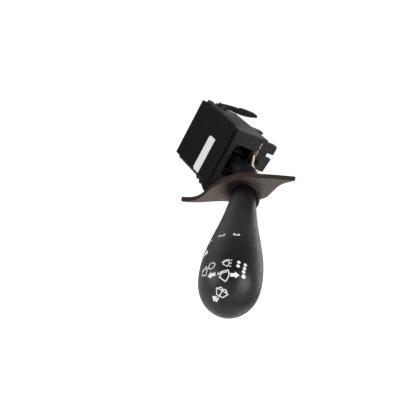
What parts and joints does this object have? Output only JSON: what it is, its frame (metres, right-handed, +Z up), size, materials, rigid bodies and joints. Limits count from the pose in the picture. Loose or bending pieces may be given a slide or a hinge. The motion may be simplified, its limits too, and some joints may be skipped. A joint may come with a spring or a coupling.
{
  "type": "combination stalk switch",
  "caption": "Steering-column stalk switch: box housing with latch, cover and connector, cranked lever with foam pad, bulb, delay ring and capped end.",
  "frame": {"origin": "middle of the housing's flat rear face", "axes": "+X from the rear face towards the lever, +Y from the side cover towards the connector, +Z up through the release latch"},
  "size_m": [0.143, 0.0751, 0.0664],
  "materials": {
    "housing_black": "fine moulded black plastic",
    "cover_black": "smooth dark plastic, slight sheen",
    "lever_grey": "satin dark grey soft-feel plastic",
    "inner_plastic": "natural glass-filled plastic",
    "label_white": "plain white paper label",
    "foam": "grey-brown closed-cell foam",
    "copper": "bare copper strip",
    "contact_brass": "bright contact brass",
    "steel": "plain drawn steel",
    "lead_cream": "cream lead insulation",
    "board": "brown resin board"
  },
  "bodies": {
    "housing": {"case": "housing_black", "side_cover": "cover_black", "label_strip": "label_white", "connector_carrier": "housing_black", "terminal_blades": "contact_brass", "bus_bars": "copper", "cream_lead": "lead_cream", "detent_track": "inner_plastic", "contact_board": "board", "contact_tracks": "copper", "slider_rails": "inner_plastic"},
    "latch": {"release_latch": "housing_black"},
    "yoke": {"swing_yoke": "housing_black", "pull_pin": "steel", "return_spring": "steel", "wash_contacts": "contact_brass", "detent_spring": "steel"},
    "plunger": {"detent_plunger": "inner_plastic"},
    "lever": {"lever_core": "housing_black", "lever_shell": "lever_grey", "foam_pad": "foam", "ring_hub": "inner_plastic", "delay_wafer": "board", "end_cap": "lever_grey", "lever_leads": "lead_cream", "wash_bridge": "contact_brass"},
    "ring": {"delay_ring": "lever_grey", "ring_wiper": "contact_brass"},
    "slider": {"contact_slider": "inner_plastic", "contact_fingers": "contact_brass"}
  },
  "joints": [
    {"name": "select", "type": "hinge", "parent": "housing", "child": "yoke", "pos_m": [0.029, 0, -0.0017], "axis": [0, 0, 1], "range_deg": [-6, 18]},
    {"name": "pull", "type": "hinge", "parent": "yoke", "child": "lever", "pos_m": [0.029, 0, -0.0017], "axis": [0, -1, 0], "range_deg": [0, 8], "stiffness_Nm_per_rad": 1.2, "springref_deg": -5.73, "deforming": ["return_spring"]},
    {"name": "delay", "type": "hinge", "parent": "lever", "child": "ring", "pos_m": [0.0528, 0, -0.0017], "axis": [-0.8351, 0.4481, 0.3191], "range_deg": [0, 58]},
    {"name": "contacts", "type": "slide", "parent": "housing", "child": "slider", "axis": [0, 1, 0], "range_m": [-0.0048, 0.0017]},
    {"name": "detent", "type": "slide", "parent": "yoke", "child": "plunger", "axis": [-1, 0, 0], "range_m": [0, 0.0006], "stiffness_N_per_m": 200, "springref_m": -0.004},
    {"name": "release", "type": "hinge", "parent": "housing", "child": "latch", "pos_m": [0.01, -0.0048, 0.0195], "axis": [-1, 0, 0], "range_deg": [0, 4], "stiffness_Nm_per_rad": 0.15, "springref_deg": -1.72}
  ],
  "couplings": [
    {"joint": "contacts", "follows": "select", "m_per_rad": -0.015}
  ]
}
